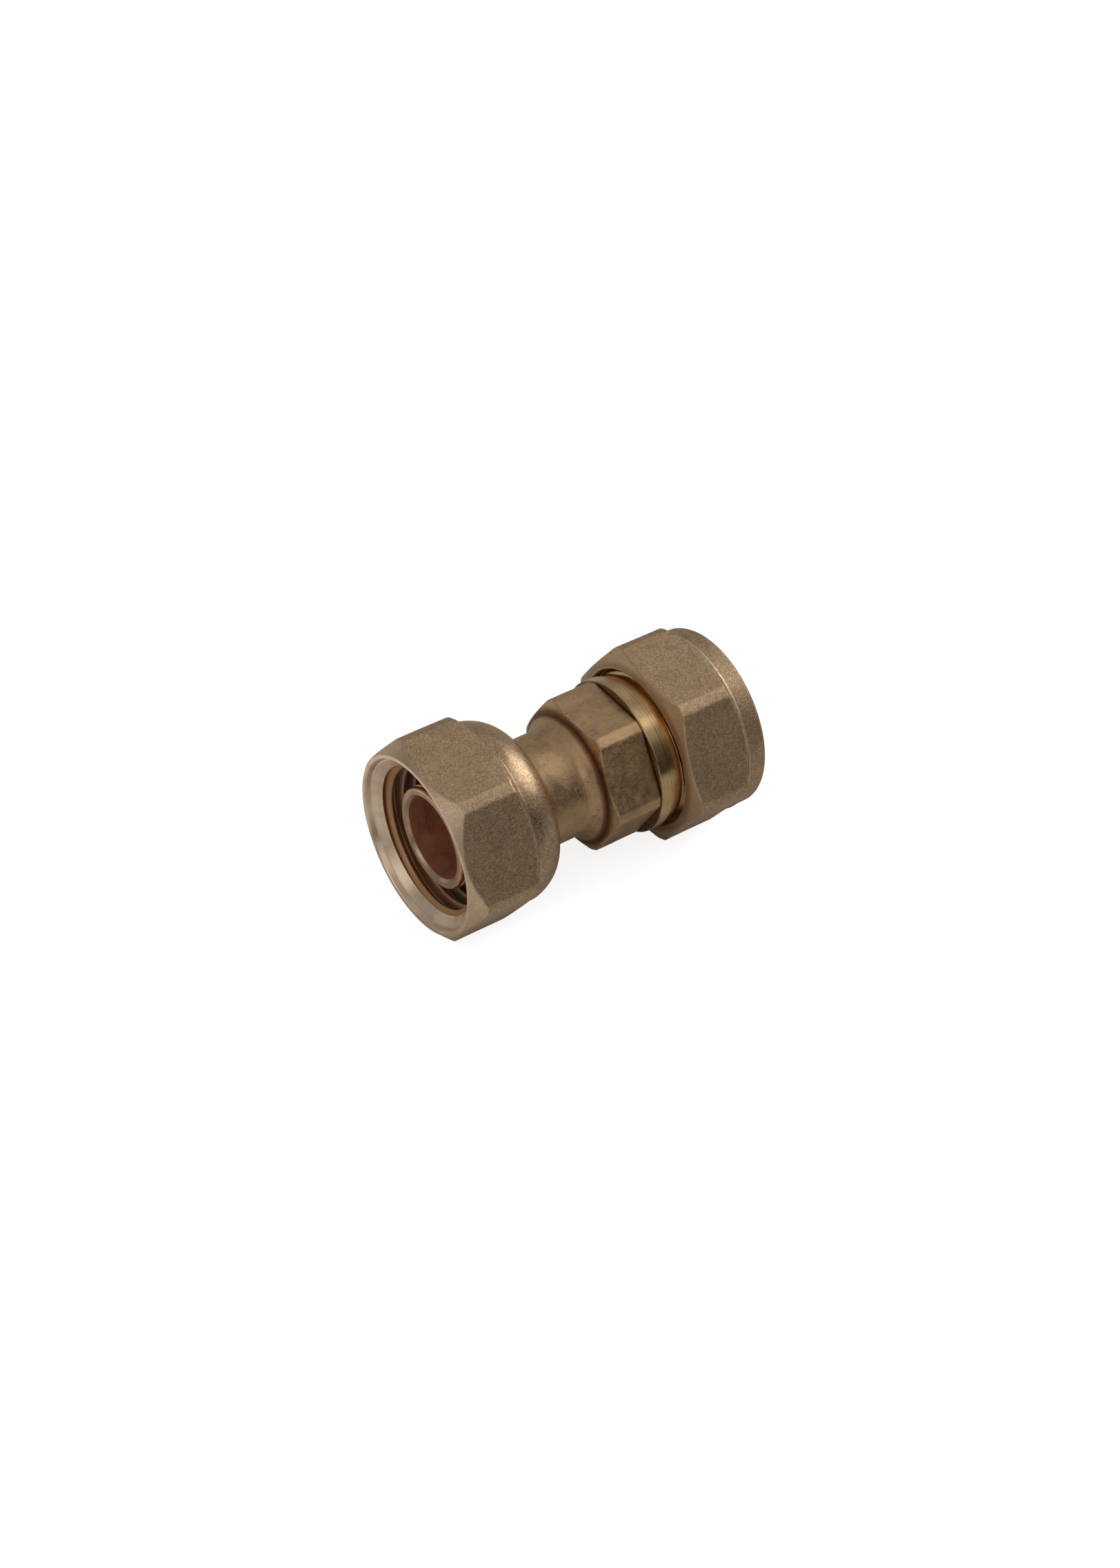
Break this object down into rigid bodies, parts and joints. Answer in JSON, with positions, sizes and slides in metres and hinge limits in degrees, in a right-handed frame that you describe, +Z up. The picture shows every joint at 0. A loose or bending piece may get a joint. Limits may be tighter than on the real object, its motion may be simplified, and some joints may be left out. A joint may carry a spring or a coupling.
{
  "type": "compression tap connector",
  "caption": "Brass plumbing connector joining a copper pipe to a threaded tap tail, with a compression nut and olive at one end and a loose swivel nut at the other.",
  "frame": {"origin": "on the water way's axis, at the shoulder inside the pipe socket that the end of the copper pipe rests against", "axes": "+X along the water way from the tap end to the pipe end; +Z up with both nuts lying on a flat; +Y completes a right-handed set"},
  "size_m": [0.0455, 0.0274, 0.0244],
  "materials": {
    "brass_body": "machined and drawn brass, satin, slightly stained",
    "brass_swivel_nut": "blasted brass outside, bright machined rim and thread",
    "brass_ring": "bright spring brass",
    "fibre": "matt red-brown vulcanised fibre",
    "brass_olive": "bright turned brass",
    "brass_compression_nut": "blasted brass outside, bright machined thread and cone"
  },
  "bodies": {
    "fitting_body": {"body": "brass_body"},
    "ring": {"retaining_ring": "brass_ring"},
    "tap_nut": {"swivel_nut": "brass_swivel_nut"},
    "washer": {"fibre_washer": "fibre"},
    "olive_ring": {"olive": "brass_olive"},
    "pipe_nut": {"compression_nut": "brass_compression_nut"}
  },
  "joints": [
    {"name": "ring_spin", "type": "hinge", "parent": "fitting_body", "child": "ring", "pos_m": [-0.0171, 0, 0], "axis": [1, 0, 0], "continuous": true},
    {"name": "swivel_nut_slide", "type": "slide", "parent": "ring", "child": "tap_nut", "axis": [1, 0, 0], "range_m": [-0.0019, 0.0058]},
    {"name": "washer_removal", "type": "slide", "parent": "fitting_body", "child": "washer", "axis": [-1, 0, 0], "range_m": [0, 0.012]},
    {"name": "olive_travel", "type": "slide", "parent": "fitting_body", "child": "olive_ring", "axis": [1, 0, 0], "range_m": [-0.0014, 0.0046]},
    {"name": "compression_nut_turn", "type": "hinge", "parent": "olive_ring", "child": "pipe_nut", "pos_m": [0.016, 0, 0], "axis": [1, 0, 0], "range_deg": [-270, 900]}
  ],
  "couplings": [
    {"joint": "olive_travel", "follows": "compression_nut_turn", "m_per_rad": 0.00028875}
  ]
}
